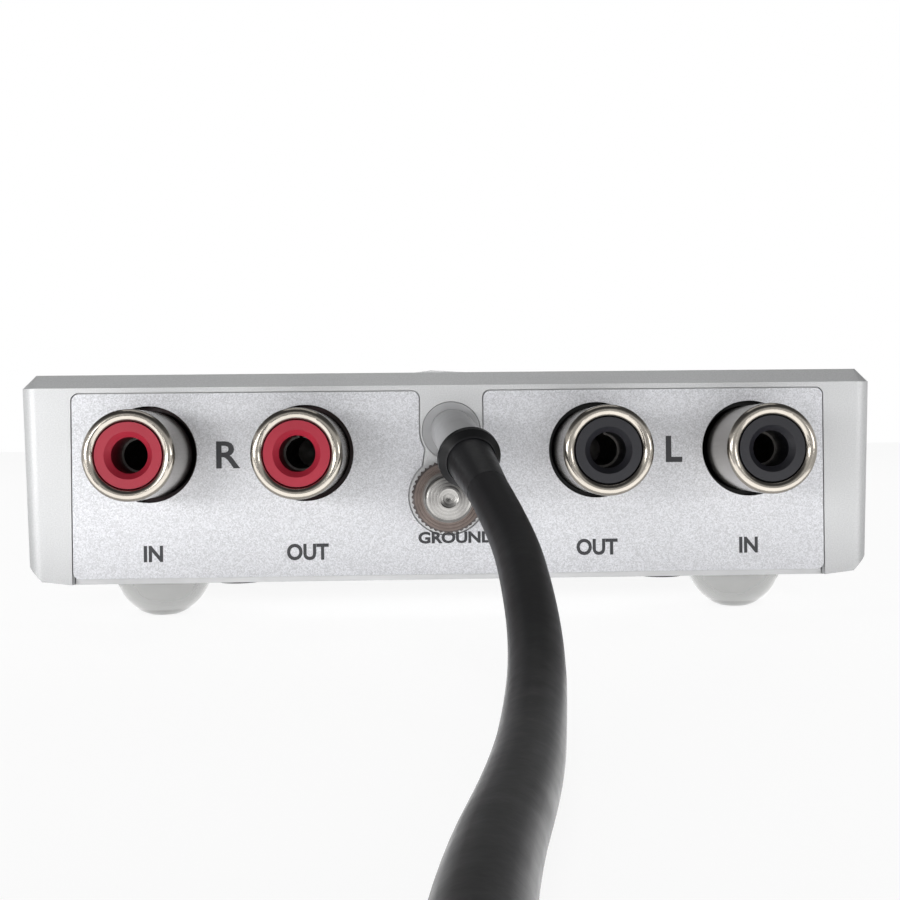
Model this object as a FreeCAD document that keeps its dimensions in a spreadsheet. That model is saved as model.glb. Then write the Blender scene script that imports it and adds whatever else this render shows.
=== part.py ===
import FreeCAD, Part
import math
import os
import re
from types import SimpleNamespace

import Sketcher

V = FreeCAD.Vector

# Driving sizes in millimetres. The rear, with the jacks, faces -Y, and the floor is z = 0.
SIZES = {
    # Case
    "case_width": 82.4,
    "case_lean": 0.55,
    "case_depth": 105.0,
    "case_height": 20.1,
    "wall": 2.0,
    "side_wall": 2.6,
    "edge_chamfer": 1.3,
    "corner_round": 1.5,
    "base_rise": 1.9,
    "base_step": 0.35,
    "base_run": 1.5,
    "sill_side": 5.0,
    "crest_left": 3.5,
    "crest_peak": 1.9,
    "crest_right": 1.4,
    "crest_height": 0.2,
    # Bottom plate and its screws
    "bottom_thick": 1.5,
    "slip_gap": 0.12,
    "post_dia": 4.4,
    "pilot_dia": 1.7,
    "screw_dia": 2.2,
    "screw_reach": 6.5,
    "screw_head_dia": 4.2,
    "screw_head_thick": 1.3,
    "screw_head_sunk": 0.8,
    "screw_inset": 6.5,
    "rear_post_spread": 42.6,
    "front_post_spread": 42.6,
    # Feet
    "foot_dia": 9.5,
    "foot_height": 3.8,
    "foot_flat": 0.25,
    "foot_spread": 58.5,
    "foot_inset": 8.5,
    # Rear plate
    "plate_height": 17.65,
    "plate_thick": 0.5,
    "plate_top_margin": 1.89,
    "plate_round": 0.65,
    "notch_width": 6.0,
    "notch_neck": 4.8,
    "notch_neck_drop": 1.0,
    "lobe_dia": 7.4,
    # Jacks
    "jack_height": 16.2,
    "jack_reach": 9.0,
    "jack_outer": 29.0,
    "jack_inner": 14.05,
    "shell_dia": 8.3,
    "shell_wall": 0.5,
    "shell_step": 0.2,
    "shell_tail": 7.0,
    "lip_bore": 6.1,
    "lip_depth": 1.2,
    "lip_round": 0.59,
    "plate_hole_dia": 9.27,
    "fit_gap": 0.05,
    "face_recess": 0.3,
    "pin_bore": 3.3,
    "pin_bore_length": 5.0,
    "sink_dia": 4.3,
    "sink_depth": 0.6,
    "block_width": 9.6,
    "block_depth": 11.0,
    "block_above": 5.0,
    "collar_recess": 2.0,
    "contact_dia": 3.7,
    "contact_wall": 0.4,
    "contact_tail": 9.0,
    "tab_width": 2.0,
    "tab_thick": 0.4,
    "pin_stub": 1.4,
    # Circuit board
    "board_height": 7.6,
    "board_thick": 1.6,
    "board_side": 1.6,
    "board_rear_gap": 5.0,
    "board_front_gap": 13.0,
    "board_post_side": 3.5,
    "board_post_rear": 22.0,
    "board_post_front": 80.0,
    "board_screw_reach": 5.0,
    "can_dia": 5.0,
    "can_height": 11.0,
    "film_length": 7.2,
    "film_width": 2.5,
    "film_height": 6.5,
    "chip_length": 9.4,
    "chip_width": 6.4,
    "chip_height": 3.4,
    "regulator_dia": 4.6,
    "regulator_height": 4.6,
    "resistor_dia": 2.3,
    "resistor_length": 6.3,
    "wire_dia": 1.2,
    "leg_dia": 0.6,
    "led_dia": 3.0,
    "led_height": 14.2,
    "led_length": 5.2,
    # Ground terminal
    "ground_side": 0.4,
    "ground_drop": 4.3,
    "knurl_dia": 7.0,
    "knurl_thick": 2.2,
    "knurl_depth": 0.2,
    "knurl_count": 42,
    "washer_dia": 6.6,
    "washer_thick": 0.5,
    "terminal_dia": 4.5,
    "terminal_length": 3.3,
    "shank_dia": 2.9,
    "shank_length": 8.0,
    "bush_dia": 5.2,
    "bush_tail_dia": 4.0,
    "bush_tail": 3.0,
    "tag_thick": 0.5,
    "tag_dia": 5.8,
    "nut_flats": 5.5,
    "nut_thick": 1.7,
    # Lead
    "lead_dia": 3.6,
    "lead_hole_dia": 5.7,
    "lead_rise": 1.97,
    "lead_side": 0.1,
    "sleeve_dia": 4.15,
    "sleeve_reach": 10.5,
    "sleeve_sag": 2.2,
    "sleeve_sway": 1.1,
    "flange_dia": 6.4,
    "flange_thick": 1.2,
    "ring_dia": 5.65,
    "ring_thick": 1.5,
    "boot_length": 6.0,
    "boot_dia": 4.3,
    "inner_run": 13.0,
    "grip_dia": 5.4,
    "grip_width": 2.4,
    # Coil, its tie and the socket on the lead's end
    "coil_inner": 11.8,
    "coil_turns": 4,
    "coil_pitch": 4.15,
    "layer_pitch": 4.1,
    "coil_lift": 0.8,
    "coil_back": 124.4,
    "coil_entry": 2.2,
    "tie_width": 4.5,
    "tie_thick": 0.5,
    "tie_gap": 0.3,
    "tail_run": 24.0,
    "socket_dia": 9.5,
    "socket_length": 24.0,
    "socket_boot": 9.0,
    "socket_bore": 5.6,
    "socket_depth": 9.5,
    "socket_wall": 0.5,
    "socket_pin_dia": 2.1,
}

# Places that follow from the sizes, as formulas for the sheet
REAR = "((jack_reach - case_depth) / 2)"
FRONT = "((jack_reach + case_depth) / 2)"
TOP = "(foot_height + case_height)"
CAVITY_WIDTH = "(case_width - 2 * side_wall)"
PLATE_WIDTH = "(case_width - 2 * sill_side)"
BOARD_WIDTH = f"({CAVITY_WIDTH} - 2 * board_side)"
INSIDE = f"({REAR} + plate_thick + wall)"
CEILING = f"({TOP} - wall)"
FLOOR_TOP = "(foot_height + bottom_thick)"
BOARD_TOP = "(board_height + board_thick)"
PLATE_TOP = f"({TOP} - plate_top_margin)"
GROUND_Z = "(jack_height - ground_drop)"
LEAD_Z = "(jack_height + lead_rise)"

JACKS = {
    "jack_right_in": "-jack_outer",
    "jack_right_out": "-jack_inner",
    "jack_left_out": "jack_inner",
    "jack_left_in": "jack_outer",
}

doc = FreeCAD.newDocument("phono_preamp")
sheet = doc.addObject("Spreadsheet::Sheet", "Sizes")
for row, (alias, number) in enumerate(SIZES.items(), start=1):
    sheet.set(f"A{row}", alias)
    sheet.set(f"B{row}", str(number))
    sheet.setAlias(f"B{row}", alias)
doc.recompute()
size = SimpleNamespace(**{alias: float(sheet.get(alias)) for alias in SIZES})

rear = (size.jack_reach - size.case_depth) / 2
board_top = size.board_height + size.board_thick
lead_z = size.jack_height + size.lead_rise
ground_z = size.jack_height - size.ground_drop
lead_radius = size.lead_dia / 2

PARTS = []


def formula(words):
    """A formula with each size's name pointed at the sheet."""
    return re.sub(r"[a-z][a-z_]*", lambda m: f"Sizes.{m[0]}" if m[0] in SIZES else m[0], words)


def bind(obj, prop, words):
    obj.setExpression(prop, formula(words))


def place(obj, x="0", y="0", z="0"):
    for axis, words in zip("xyz", (x, y, z)):
        bind(obj, f"Placement.Base.{axis}", words)


def keep(obj, label):
    """Marks a finished sub-part; its label names its file."""
    obj.Label = label
    PARTS.append(obj)
    return obj


def box(name, low, spans):
    """A block from its low corner and its spans, as formulas."""
    obj = doc.addObject("Part::Box", name)
    for prop, words in zip(("Length", "Width", "Height"), spans):
        bind(obj, prop, words)
    place(obj, *low)
    return obj


def slab(name, x, y, z, width, depth, height):
    """A block centred on x, from y along +Y and from z upwards."""
    return box(name, (f"{x} - ({width}) / 2", y, z), (width, depth, height))


def rod(name, dia, length, x, y, z, along="Y"):
    """A cylinder that starts at a point and runs along +Y or +Z."""
    obj = doc.addObject("Part::Cylinder", name)
    bind(obj, "Radius", f"({dia}) / 2")
    bind(obj, "Height", length)
    if along == "Y":
        obj.Placement.Rotation = FreeCAD.Rotation(V(1, 0, 0), -90)
    place(obj, x, y, z)
    return obj


def cone(name, dia_start, dia_end, length, x, y, z):
    """A cone that starts at a point and runs along +Y."""
    obj = doc.addObject("Part::Cone", name)
    bind(obj, "Radius1", f"({dia_start}) / 2")
    bind(obj, "Radius2", f"({dia_end}) / 2")
    bind(obj, "Height", length)
    obj.Placement.Rotation = FreeCAD.Rotation(V(1, 0, 0), -90)
    place(obj, x, y, z)
    return obj


def fuse(name, *shapes):
    obj = doc.addObject("Part::MultiFuse", name)
    obj.Shapes = list(shapes)
    return obj


def cut(name, base, *tools):
    obj = doc.addObject("Part::Cut", name)
    obj.Base = base
    obj.Tool = tools[0] if len(tools) == 1 else fuse(f"{name}_tools", *tools)
    return obj


def group(name, *shapes):
    """Separate like solids in one node."""
    obj = doc.addObject("Part::Compound", name)
    obj.Links = list(shapes)
    return obj


def feature(name, shape):
    obj = doc.addObject("Part::Feature", name)
    obj.Shape = shape
    return obj


def body(name):
    return doc.addObject("PartDesign::Body", name)


def sketch_on(owner, name, role, offset="0"):
    plane = next(item for item in owner.Origin.OriginFeatures if item.Role == role)
    sketch = owner.newObject("Sketcher::SketchObject", name)
    sketch.AttachmentSupport = [(plane, "")]
    sketch.MapMode = "FlatFace"
    bind(sketch, "AttachmentOffset.Base.z", offset)
    return sketch


def pin_point(sketch, geometry, vertex, point):
    """Ties a vertex to its two formulas."""
    for kind, words in zip(("DistanceX", "DistanceY"), point):
        index = sketch.addConstraint(Sketcher.Constraint(kind, -1, 1, geometry, vertex, 1.0))
        bind(sketch, f"Constraints[{index}]", words)


def outline(owner, name, role, points, offset="0"):
    """A closed outline of straight sides through points given as formulas."""
    sketch = sketch_on(owner, name, role, offset)
    count = len(points)
    start = [V(math.cos(math.tau * i / count), math.sin(math.tau * i / count), 0) for i in range(count)]
    for i in range(count):
        sketch.addGeometry(Part.LineSegment(start[i], start[(i + 1) % count]))
    for i in range(count):
        sketch.addConstraint(Sketcher.Constraint("Coincident", i, 2, (i + 1) % count, 1))
    for i, point in enumerate(points):
        pin_point(sketch, i, 1, point)
    return sketch


def circles(owner, name, role, centres, dia, offset="0"):
    sketch = sketch_on(owner, name, role, offset)
    for i, centre in enumerate(centres):
        sketch.addGeometry(Part.Circle(V(10 * i, 0, 0), V(0, 0, 1), 1.0))
        pin_point(sketch, i, 3, centre)
        index = sketch.addConstraint(Sketcher.Constraint("Radius", i, 1.0))
        bind(sketch, f"Constraints[{index}]", f"({dia}) / 2")
    return sketch


def extrude(owner, kind, name, sketch, length, back=False):
    """A Pad along the sketch's normal or a Pocket against it; back turns either round."""
    made = owner.newObject(f"PartDesign::{kind}", name)
    made.Profile = sketch
    bind(made, "Length", length)
    made.Reversed = back
    return made


def turn(owner, name, points):
    """A solid turned about the body's own Y axis from (radius, y) points."""
    sketch = outline(owner, f"{name}_profile", "XY_Plane", points)
    made = owner.newObject("PartDesign::Revolution", name)
    made.Profile = sketch
    made.ReferenceAxis = (sketch, ["V_Axis"])
    made.Angle = 360
    return made


def dress(owner, kind, name, base, wanted, words):
    """A Fillet or Chamfer on the base's edges that the test picks out."""
    doc.recompute()
    picked = [f"Edge{i}" for i, edge in enumerate(base.Shape.Edges, start=1) if wanted(edge)]
    made = owner.newObject(f"PartDesign::{kind}", name)
    made.Base = (base, picked)
    bind(made, "Radius" if kind == "Fillet" else "Size", words)
    return made


def near(a, b):
    return abs(a - b) < 1e-4


def ends_at(edge, **planes):
    """Whether both ends of an edge lie on the planes given as x=, y= or z=."""
    return all(near(getattr(v.Point, axis), at) for v in edge.Vertexes for axis, at in planes.items())


def rectangle(half_width, low, high):
    return [
        (f"-({half_width})", low),
        (half_width, low),
        (half_width, high),
        (f"-({half_width})", high),
    ]


def mirrored(points):
    """Right-hand points from the bottom up, closed with their mirror images."""
    return points + [(f"-({x})", z) for x, z in reversed(points)]


def keyhole(owner, kind, top, grow, back=False):
    """The rear plate's cut round the lead and the ground terminal, or the case's raised pad in it."""
    offset = f"-{REAR}"
    neck = f"notch_neck / 2 + ({grow})"
    wide = f"notch_width / 2 + ({grow})"
    sides = [
        (f"lobe_dia / 2 - notch_neck_drop / 2 + ({grow})", GROUND_Z),
        (neck, f"{LEAD_Z} - notch_neck_drop"),
        (wide, f"{LEAD_Z} + notch_neck_drop / 2"),
        (wide, top),
    ]
    name = owner.Name
    slot = outline(owner, f"{name}_slot", "XZ_Plane", mirrored(sides), offset)
    hole = circles(owner, f"{name}_round", "XZ_Plane", [("0", LEAD_Z)], f"notch_width + 2 * ({grow})", offset)
    lobe_at = [("-ground_side", GROUND_Z)]
    lobe = circles(owner, f"{name}_lobe", "XZ_Plane", lobe_at, f"lobe_dia + 2 * ({grow})", offset)
    for sketch in (slot, hole, lobe):
        made = extrude(owner, kind, f"{sketch.Name}_{kind}", sketch, "plate_thick", back)
    return made


def case_shell():
    """Top shell: four walls and a roof, open below, with the rear recess and the screw posts."""
    half = "case_width / 2"
    base = "(case_width / 2 - case_lean)"
    section = mirrored(
        [
            (f"{PLATE_WIDTH} / 2", "foot_height"),
            (f"{base} - base_run", "foot_height + base_step"),
            (base, "foot_height + base_rise"),
            (half, TOP),
        ]
    )
    shell = body("case")
    profile = outline(shell, "case_section", "XZ_Plane", section, f"-{FRONT}")
    block = extrude(shell, "Pad", "case_block", profile, "case_depth")
    front = rear + size.case_depth
    roof = size.foot_height + size.case_height

    def corner_edge(edge):
        at_end = ends_at(edge, y=rear) or ends_at(edge, y=front)
        steep = abs(edge.Vertexes[0].Point.z - edge.Vertexes[-1].Point.z) > size.case_height / 2
        return at_end and steep

    rounded_block = dress(shell, "Fillet", "case_corners", block, corner_edge, "corner_round")
    dress(shell, "Chamfer", "case_bevel", rounded_block, lambda edge: ends_at(edge, z=roof), "edge_chamfer")
    crest = [
        ("-crest_left", f"{TOP} - wall / 2"),
        ("crest_right", f"{TOP} - wall / 2"),
        ("crest_right", TOP),
        ("-crest_peak", f"{TOP} + crest_height"),
        ("-crest_left", TOP),
    ]
    ridge = outline(shell, "crest_section", "XZ_Plane", crest, f"edge_chamfer - {FRONT}")
    extrude(shell, "Pad", "case_crest", ridge, "case_depth - 2 * edge_chamfer")
    cavity = rectangle(f"{CAVITY_WIDTH} / 2", FLOOR_TOP, CEILING)
    sketch = outline(shell, "cavity_section", "XZ_Plane", cavity, f"-{INSIDE}")
    extrude(shell, "Pocket", "case_cavity", sketch, "case_depth - plate_thick - 2 * wall")
    opening = rectangle(f"{PLATE_WIDTH} / 2", "0", FLOOR_TOP)
    sketch = outline(shell, "opening_section", "XZ_Plane", opening, f"-({REAR} + plate_thick)")
    extrude(shell, "Pocket", "case_opening", sketch, "case_depth - plate_thick - wall")
    recess = rectangle(f"{PLATE_WIDTH} / 2 + slip_gap", "0", f"{PLATE_TOP} + slip_gap")
    sketch = outline(shell, "recess_section", "XZ_Plane", recess, f"-{REAR}")
    extrude(shell, "Pocket", "case_recess", sketch, "plate_thick")
    raised = keyhole(shell, "Pad", f"{PLATE_TOP} + slip_gap", "0", back=True)
    recess_top = roof - size.plate_top_margin + size.slip_gap
    sides = (size.notch_width / 2, size.case_width / 2 - size.sill_side + size.slip_gap)

    def recess_corner(edge):
        at_top = ends_at(edge, z=recess_top) and near(edge.Length, size.plate_thick)
        return at_top and any(near(abs(edge.Vertexes[0].Point.x), side) for side in sides)

    dress(shell, "Fillet", "case_recess_corners", raised, recess_corner, "plate_round + slip_gap")
    holes = [(x, "jack_height") for x in JACKS.values()]
    sketch = circles(shell, "jack_openings", "XZ_Plane", holes, "plate_hole_dia + 2 * slip_gap", f"-{REAR}")
    extrude(shell, "Pocket", "case_jack_holes", sketch, "plate_thick + 2 * wall")
    lead_at = [("0", LEAD_Z)]
    sketch = circles(shell, "lead_opening", "XZ_Plane", lead_at, "lead_hole_dia", f"-{REAR}")
    extrude(shell, "Pocket", "case_lead_hole", sketch, "plate_thick + 2 * wall")
    bush_at = [("-ground_side", GROUND_Z)]
    sketch = circles(shell, "bush_opening", "XZ_Plane", bush_at, "bush_dia", f"-{REAR}")
    extrude(shell, "Pocket", "case_bush_hole", sketch, "plate_thick + 2 * wall")
    led_at = [("0", "led_height")]
    sketch = circles(shell, "led_opening", "XZ_Plane", led_at, "led_dia + 2 * fit_gap", f"-({FRONT} - 2 * wall)")
    extrude(shell, "Pocket", "case_led_hole", sketch, "4 * wall")
    for kind, spots, low in (
        ("floor", floor_posts(), FLOOR_TOP),
        ("board", board_posts(), BOARD_TOP),
    ):
        posts = circles(shell, f"{kind}_posts", "XY_Plane", spots, "post_dia", low)
        extrude(shell, "Pad", f"case_{kind}_posts", posts, f"{CEILING} + wall / 2 - {low}")
        pilots = circles(shell, f"{kind}_pilots", "XY_Plane", spots, "pilot_dia", low)
        extrude(shell, "Pocket", f"case_{kind}_pilots", pilots, "screw_reach + pilot_dia", back=True)
    return keep(shell, "case_shell")


def floor_posts():
    """(x, y) of the screws that hold the bottom plate."""
    rear_y = f"{REAR} + screw_inset"
    front_y = f"{FRONT} - screw_inset"
    return [
        (f"{side} * {spread} / 2", y)
        for spread, y in (("rear_post_spread", rear_y), ("front_post_spread", front_y))
        for side in (-1, 1)
    ]


def board_posts():
    """(x, y) of the screws that hold the circuit board."""
    return [
        (f"{side} * ({BOARD_WIDTH} / 2 - board_post_side)", f"{REAR} + {inset}")
        for inset in ("board_post_rear", "board_post_front")
        for side in (-1, 1)
    ]


def bottom_plate():
    """Flat floor that slips between the case's sills, with sunk screw holes."""
    plate = slab(
        "floor_blank",
        "0",
        f"{REAR} + plate_thick + slip_gap",
        "foot_height",
        f"{PLATE_WIDTH} - 2 * slip_gap",
        "case_depth - plate_thick - wall - 2 * slip_gap",
        "bottom_thick",
    )
    tools = []
    for i, (x, y) in enumerate(floor_posts()):
        tools.append(rod(f"floor_hole_{i}", "screw_dia + 2 * slip_gap", "2 * bottom_thick", x, y, "foot_height", "Z"))
        sink = rod(f"floor_sink_{i}", "screw_head_dia + 2 * slip_gap", "screw_head_sunk", x, y, "foot_height", "Z")
        tools.append(sink)
    return keep(cut("floor_plate", plate, *tools), "bottom_plate")


def rear_plate():
    """Thin plate in the rear recess, cut for the jacks, the lead and the ground terminal."""
    plate = body("plate")
    low = f"{PLATE_TOP} - plate_height"
    blank = outline(
        plate, "plate_section", "XZ_Plane", rectangle(f"{PLATE_WIDTH} / 2", low, PLATE_TOP), f"-({REAR} + plate_thick)"
    )
    extrude(plate, "Pad", "plate_blank", blank, "plate_thick")
    keyhole(plate, "Pocket", f"{PLATE_TOP} + slip_gap", "slip_gap")
    holes = [(x, "jack_height") for x in JACKS.values()]
    sketch = circles(plate, "plate_openings", "XZ_Plane", holes, "plate_hole_dia", f"-{REAR}")
    drilled = extrude(plate, "Pocket", "plate_holes", sketch, "plate_thick")
    top = size.foot_height + size.case_height - size.plate_top_margin
    bottom = top - size.plate_height

    def corner(edge):
        across = len(edge.Vertexes) == 2 and near(abs(edge.tangentAt(edge.FirstParameter).y), 1)
        return across and (ends_at(edge, z=top) or ends_at(edge, z=bottom))

    dress(plate, "Fillet", "plate_corners", drilled, corner, "plate_round")
    return keep(plate, "rear_plate")


def foot(label, x, y):
    """Clear stick-on dome, flattened where it stands."""
    ball = doc.addObject("Part::Sphere", f"{label}_ball")
    reach = "(foot_height + foot_flat)"
    ball_radius = f"((foot_dia * foot_dia / 4 + {reach} * {reach}) / (2 * {reach}))"
    bind(ball, "Radius", ball_radius)
    place(ball, x, y, f"{ball_radius} - foot_flat")
    layer = slab(f"{label}_layer", x, f"{y} - foot_dia", "0", "2 * foot_dia", "2 * foot_dia", "foot_height")
    dome = doc.addObject("Part::MultiCommon", f"{label}_dome")
    dome.Shapes = [ball, layer]
    return keep(dome, label)


def screw(name, x, y, seat, head_dia, head_thick, reach):
    """Cross-head screw driven upwards, its head under the seat height."""
    head = rod(f"{name}_head", head_dia, head_thick, x, y, f"{seat} - {head_thick}", "Z")
    shank = rod(f"{name}_shank", "pilot_dia - 2 * fit_gap", reach, x, y, seat, "Z")
    blank = fuse(f"{name}_blank", head, shank)
    span = f"({head_dia}) * 0.6"
    slot = "screw_dia * 0.2"
    depth = f"({head_thick}) / 2"
    low = f"{seat} - {head_thick}"
    across = slab(f"{name}_across", x, f"{y} - {slot} / 2", low, span, slot, depth)
    along = slab(f"{name}_along", x, f"{y} - {span} / 2", low, slot, span, depth)
    return cut(name, blank, across, along)


def fasteners():
    """The screws under the bottom plate and under the circuit board."""
    floor_seat = "(foot_height + screw_head_sunk)"
    floor = [
        screw(f"floor_screw_{i}", x, y, floor_seat, "screw_head_dia", "screw_head_thick", "screw_reach")
        for i, (x, y) in enumerate(floor_posts())
    ]
    keep(group("floor_screws", *floor), "bottom_screws")
    board = [
        screw(f"board_screw_{i}", x, y, "board_height", "screw_head_dia", "screw_head_thick", "board_screw_reach")
        for i, (x, y) in enumerate(board_posts())
    ]
    keep(group("board_screws", *board), "pcb_screws")


def jack_shell(label, x):
    """Nickel tube with a rolled lip, and the tab that solders it to the board."""
    outer = "shell_dia / 2"
    inner = "shell_dia / 2 - shell_wall"
    shell = body(f"{label}_tube")
    place(shell, x, REAR, "jack_height")
    blank = turn(
        shell,
        f"{label}_turned",
        [
            ("lip_bore / 2", "-jack_reach"),
            (outer, "-jack_reach"),
            (outer, "0"),
            (f"{outer} - shell_step", "0"),
            (f"{outer} - shell_step", "shell_tail"),
            (inner, "shell_tail"),
            (inner, "lip_depth - jack_reach"),
            ("lip_bore / 2", "lip_depth - jack_reach"),
        ],
    )

    def lip(edge):
        return near(edge.Vertexes[0].Point.y, -size.jack_reach) and edge.Curve.TypeId == "Part::GeomCircle"

    dress(shell, "Fillet", f"{label}_lip", blank, lip, "lip_round - fit_gap")
    tab = slab(
        f"{label}_tab",
        x,
        f"{REAR} + shell_tail - tab_thick",
        "board_height - pin_stub",
        "tab_width",
        "tab_thick",
        f"jack_height - {inner} - board_height + pin_stub - fit_gap",
    )
    keep(fuse(f"{label}_metal", shell, tab), f"{label}_shell")


def jack_body(label, x):
    """Moulded block behind the panel, with the collar in the panel and the insulator in the shell."""
    core_dia = "(shell_dia - 2 * shell_wall - 2 * fit_gap)"
    face = f"({REAR} - jack_reach + face_recess)"
    block_front = f"({INSIDE} + slip_gap)"
    collar_front = f"({REAR} + collar_recess)"
    block = slab(
        f"{label}_block",
        x,
        block_front,
        BOARD_TOP,
        "block_width",
        "block_depth",
        f"jack_height + block_above - {BOARD_TOP}",
    )
    collar = rod(
        f"{label}_collar", "plate_hole_dia - 2 * fit_gap", "2 * wall", x, collar_front, "jack_height"
    )
    groove_end = f"({REAR} + shell_tail + fit_gap)"
    groove = rod(
        f"{label}_groove",
        "shell_dia + 2 * fit_gap",
        f"{groove_end} - {collar_front} + wall",
        x,
        f"{collar_front} - wall",
        "jack_height",
    )
    tab_slot = slab(
        f"{label}_tab_slot",
        x,
        f"{groove_end} - tab_thick - 2 * fit_gap",
        f"{BOARD_TOP} - wall",
        "tab_width + 4 * fit_gap",
        "tab_thick + 2 * fit_gap",
        f"jack_height - {BOARD_TOP} + wall",
    )
    housing = cut(f"{label}_housing", fuse(f"{label}_mould", block, collar), groove, tab_slot)
    nose_length = "(lip_depth - face_recess + fit_gap)"
    nose = rod(f"{label}_nose", "lip_bore - 2 * fit_gap", nose_length, x, face, "jack_height")
    core_start = f"({face} + {nose_length})"
    core = rod(f"{label}_core", core_dia, f"{groove_end} + wall - {core_start}", x, core_start, "jack_height")
    bore = rod(f"{label}_bore", "pin_bore", "pin_bore_length + wall", x, f"{face} - wall", "jack_height")
    sink = cone(f"{label}_sink", "sink_dia", "pin_bore", "sink_depth", x, face, "jack_height")
    contact_room = rod(
        f"{label}_room",
        "contact_dia + 2 * fit_gap",
        f"{REAR} + contact_tail + fit_gap - ({face} + pin_bore_length)",
        x,
        f"{face} + pin_bore_length",
        "jack_height",
    )
    pin_slot = slab(
        f"{label}_pin_slot",
        x,
        f"{REAR} + contact_tail - tab_thick - fit_gap",
        f"{BOARD_TOP} - wall",
        "leg_dia + 4 * fit_gap",
        "tab_thick + 2 * fit_gap",
        f"jack_height - {BOARD_TOP} + wall",
    )
    whole = fuse(f"{label}_plastic", housing, nose, core)
    keep(cut(f"{label}_moulding", whole, bore, sink, contact_room, pin_slot), f"{label}_body")


def jack_contact(label, x):
    """Spring tube that takes the plug's centre pin, with its leg to the board."""
    start = f"({REAR} - jack_reach + face_recess + pin_bore_length)"
    length = f"({REAR} + contact_tail - {start})"
    outside = rod(f"{label}_sleeve", "contact_dia", length, x, start, "jack_height")
    hollow = rod(
        f"{label}_hollow", "contact_dia - 2 * contact_wall", f"{length} - tab_thick", x, start, "jack_height"
    )
    split = slab(
        f"{label}_split", x, start, "jack_height", "contact_wall", "pin_bore_length", "contact_dia"
    )
    tube = cut(f"{label}_spring", outside, hollow, split)
    leg = slab(
        f"{label}_leg",
        x,
        f"{REAR} + contact_tail - tab_thick",
        "board_height - pin_stub",
        "leg_dia",
        "tab_thick",
        "jack_height - board_height + pin_stub - contact_dia / 4",
    )
    keep(fuse(f"{label}_pin", tube, leg), f"{label}_contact")


def circuit_board():
    """Board with its holes for the posts, the screws and the jacks' legs."""
    board = slab(
        "board_blank",
        "0",
        f"{REAR} + board_rear_gap",
        "board_height",
        BOARD_WIDTH,
        "case_depth - board_rear_gap - board_front_gap",
        "board_thick",
    )
    tools = []

    def drill(name, dia, x, y):
        tools.append(rod(name, dia, "3 * board_thick", x, y, "board_height - board_thick", "Z"))

    for i, (x, y) in enumerate(floor_posts()):
        drill(f"board_notch_{i}", "post_dia + 4 * slip_gap", x, y)
    for i, (x, y) in enumerate(board_posts()):
        drill(f"board_hole_{i}", "screw_dia + 2 * slip_gap", x, y)
    for label, x in JACKS.items():
        drill(f"{label}_tab_hole", "tab_width + 4 * slip_gap", x, f"{REAR} + shell_tail - tab_thick / 2")
        drill(f"{label}_pin_hole", "leg_dia + 4 * slip_gap", x, f"{REAR} + contact_tail - tab_thick / 2")
    keep(cut("board_drilled", board, *tools), "pcb")


def can_capacitor(label, x, y):
    """Upright electrolytic can with a crimp groove near its foot."""
    can = rod(f"{label}_can", "can_dia", "can_height", x, y, BOARD_TOP, "Z")
    ring = doc.addObject("Part::Torus", f"{label}_crimp")
    bind(ring, "Radius1", "can_dia / 2 + leg_dia / 4")
    bind(ring, "Radius2", "leg_dia / 2")
    place(ring, x, y, f"{BOARD_TOP} + can_height / 6")
    keep(cut(f"{label}_body", can, ring), label)


def film_capacitor(label, x, y):
    """Box capacitor, its length along X."""
    keep(slab(f"{label}_box", x, y, BOARD_TOP, "film_length", "film_width", "film_height"), label)


def resistor(label, x, y):
    """Axial resistor lying along X, with its legs bent down to the board."""
    z = f"{BOARD_TOP} + resistor_dia / 2"
    barrel = doc.addObject("Part::Cylinder", f"{label}_barrel")
    bind(barrel, "Radius", "resistor_dia / 2")
    bind(barrel, "Height", "resistor_length")
    barrel.Placement.Rotation = FreeCAD.Rotation(V(0, 1, 0), 90)
    place(barrel, f"{x} - resistor_length / 2", y, z)
    arm = doc.addObject("Part::Cylinder", f"{label}_arm")
    bind(arm, "Radius", "leg_dia / 2")
    bind(arm, "Height", "resistor_length + 4 * leg_dia")
    arm.Placement.Rotation = FreeCAD.Rotation(V(0, 1, 0), 90)
    place(arm, f"{x} - resistor_length / 2 - 2 * leg_dia", y, z)
    legs = [
        rod(
            f"{label}_leg_{i}",
            "leg_dia",
            "resistor_dia / 2 + leg_dia / 2",
            f"{x} + {side} * (resistor_length / 2 + 1.5 * leg_dia)",
            y,
            BOARD_TOP,
            "Z",
        )
        for i, side in enumerate((-1, 1))
    ]
    keep(fuse(f"{label}_body", barrel, arm, *legs), label)


def amplifier_chip():
    """Dual op-amp in an eight-leg package."""
    y = f"{REAR} + case_depth * 0.42"
    lift = "leg_dia"
    package = slab("chip_package", "0", y, f"{BOARD_TOP} + {lift}", "chip_length", "chip_width", "chip_height")
    notch = rod(
        "chip_notch",
        "chip_width / 4",
        "chip_height",
        "-chip_length / 2",
        f"{y} + chip_width / 2",
        f"{BOARD_TOP} + {lift} + chip_height * 0.8",
        "Z",
    )
    legs = [
        slab(
            f"chip_leg_{side}_{i}",
            f"chip_length / 4 * ({i} - 1.5)",
            f"{y} + chip_width / 2 + {side} * (chip_width / 2) - leg_dia / 2",
            BOARD_TOP,
            "leg_dia",
            "leg_dia",
            f"{lift} + chip_height / 2",
        )
        for side in (-1, 1)
        for i in range(4)
    ]
    keep(fuse("chip_whole", cut("chip_marked", package, notch), *legs), "opamp_chip")


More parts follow.
